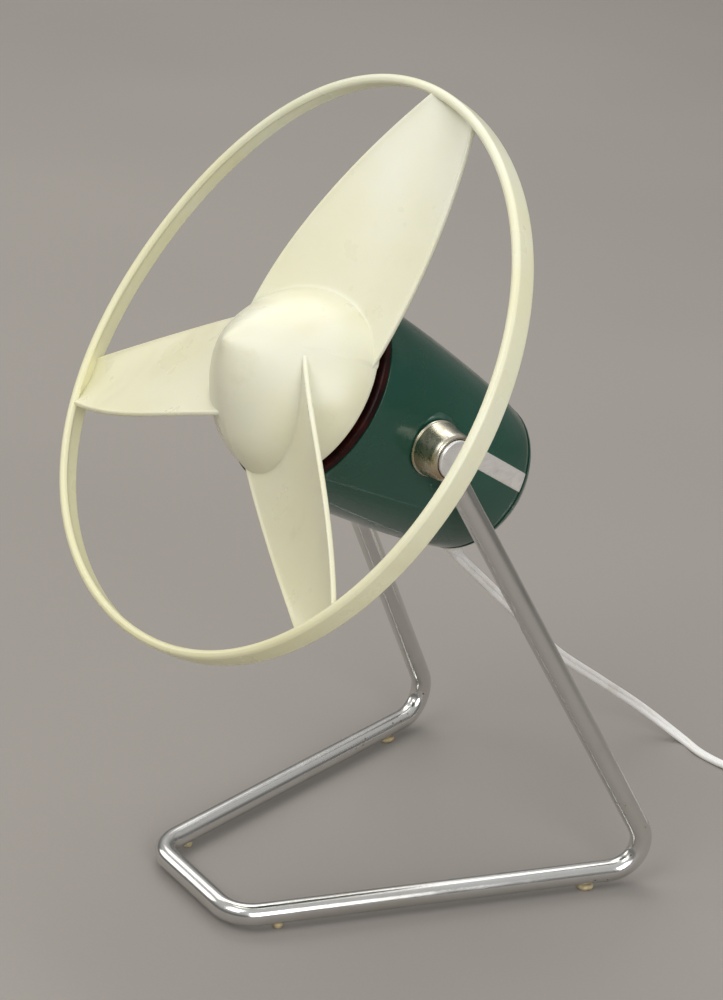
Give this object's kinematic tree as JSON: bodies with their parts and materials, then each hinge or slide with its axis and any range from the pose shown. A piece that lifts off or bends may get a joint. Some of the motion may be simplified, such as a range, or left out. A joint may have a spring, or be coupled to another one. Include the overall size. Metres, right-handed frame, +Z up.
{
  "type": "desk fan",
  "caption": "Desk fan: a ringed soft propeller on a tapered motor housing that tilts between knobs on a stand bent from one tube, with a coiled mains cord.",
  "frame": {"origin": "on the floor, under the middle of the fan without its cord", "axes": "+Z up, -Y the way the fan faces, +X to the fan's left hand side as it faces forward"},
  "size_m": [0.26, 0.4178, 0.3545],
  "materials": {
    "chromed_steel": "bright chrome, slightly hazed",
    "aged_nickel": "aged nickel with a warm stain",
    "zinc_steel": "zinc plated",
    "green_housing": "glossy enamel",
    "black_moulding": "glossy thermoset",
    "ivory_moulding": "soft satin moulding",
    "foot_rubber": "translucent amber",
    "core_steel": "stacked laminations",
    "copper": "enamelled copper",
    "brass": "plain brass",
    "bronze": "sintered bronze",
    "die_cast": "die cast",
    "fibre": "vulcanised fibre",
    "label_metal": "satin strip",
    "white_vinyl": "smooth flexible vinyl"
  },
  "bodies": {
    "stand": {"stand_tube": "chromed_steel", "power_cord": "white_vinyl", "cord_coil": "white_vinyl", "coil_tie": "black_moulding", "plug_body": "white_vinyl", "plug_pin_a": "brass", "plug_pin_b": "brass", "foot_rear_right": "foot_rubber", "foot_front_right": "foot_rubber", "pivot_knob_right": "aged_nickel", "knob_disc_right": "chromed_steel", "friction_washer_right": "fibre", "spring_washer_right": "zinc_steel", "pivot_bolt_right": "zinc_steel", "foot_rear_left": "foot_rubber", "foot_front_left": "foot_rubber", "pivot_knob_left": "aged_nickel", "knob_disc_left": "chromed_steel", "friction_washer_left": "fibre", "spring_washer_left": "zinc_steel", "pivot_bolt_left": "zinc_steel"},
    "head": {"motor_housing": "green_housing", "rear_cap": "green_housing", "front_cover": "black_moulding", "label_strip": "label_metal", "strain_relief": "white_vinyl", "terminal_block": "black_moulding", "mains_lead": "white_vinyl", "switch_body": "black_moulding", "stator_core": "core_steel", "coil_bobbin": "white_vinyl", "coil_winding": "copper", "front_bracket": "die_cast", "rear_bracket": "die_cast", "front_bearing": "bronze", "rear_bearing": "bronze", "coil_lead_right": "copper", "shading_ring_right": "copper", "motor_screw_right": "zinc_steel", "motor_nut_right": "zinc_steel", "cap_screw_right": "zinc_steel", "coil_lead_left": "copper", "shading_ring_left": "copper", "motor_screw_left": "zinc_steel", "motor_nut_left": "zinc_steel", "cap_screw_left": "zinc_steel"},
    "rotor": {"propeller": "ivory_moulding", "motor_shaft": "zinc_steel", "rotor_cage": "core_steel", "thrust_washer_front": "fibre", "thrust_washer_rear": "fibre", "hub_sleeve": "brass", "grub_screw": "zinc_steel"},
    "rocker": {"switch_rocker": "ivory_moulding"}
  },
  "joints": [
    {"name": "head_tilt", "type": "hinge", "parent": "stand", "child": "head", "pos_m": [0, 0.00956, 0.2162], "axis": [-1, 0, 0], "range_deg": [-55, 50], "deforming": ["power_cord"]},
    {"name": "rotor_spin", "type": "hinge", "parent": "head", "child": "rotor", "pos_m": [0, 0.00935, 0.21253], "axis": [0, -0.8425, 0.5388], "continuous": true},
    {"name": "switch_rock", "type": "hinge", "parent": "head", "child": "rocker", "pos_m": [0, 0.07877, 0.16814], "axis": [1, 0, 0], "range_deg": [-18, 0]}
  ]
}
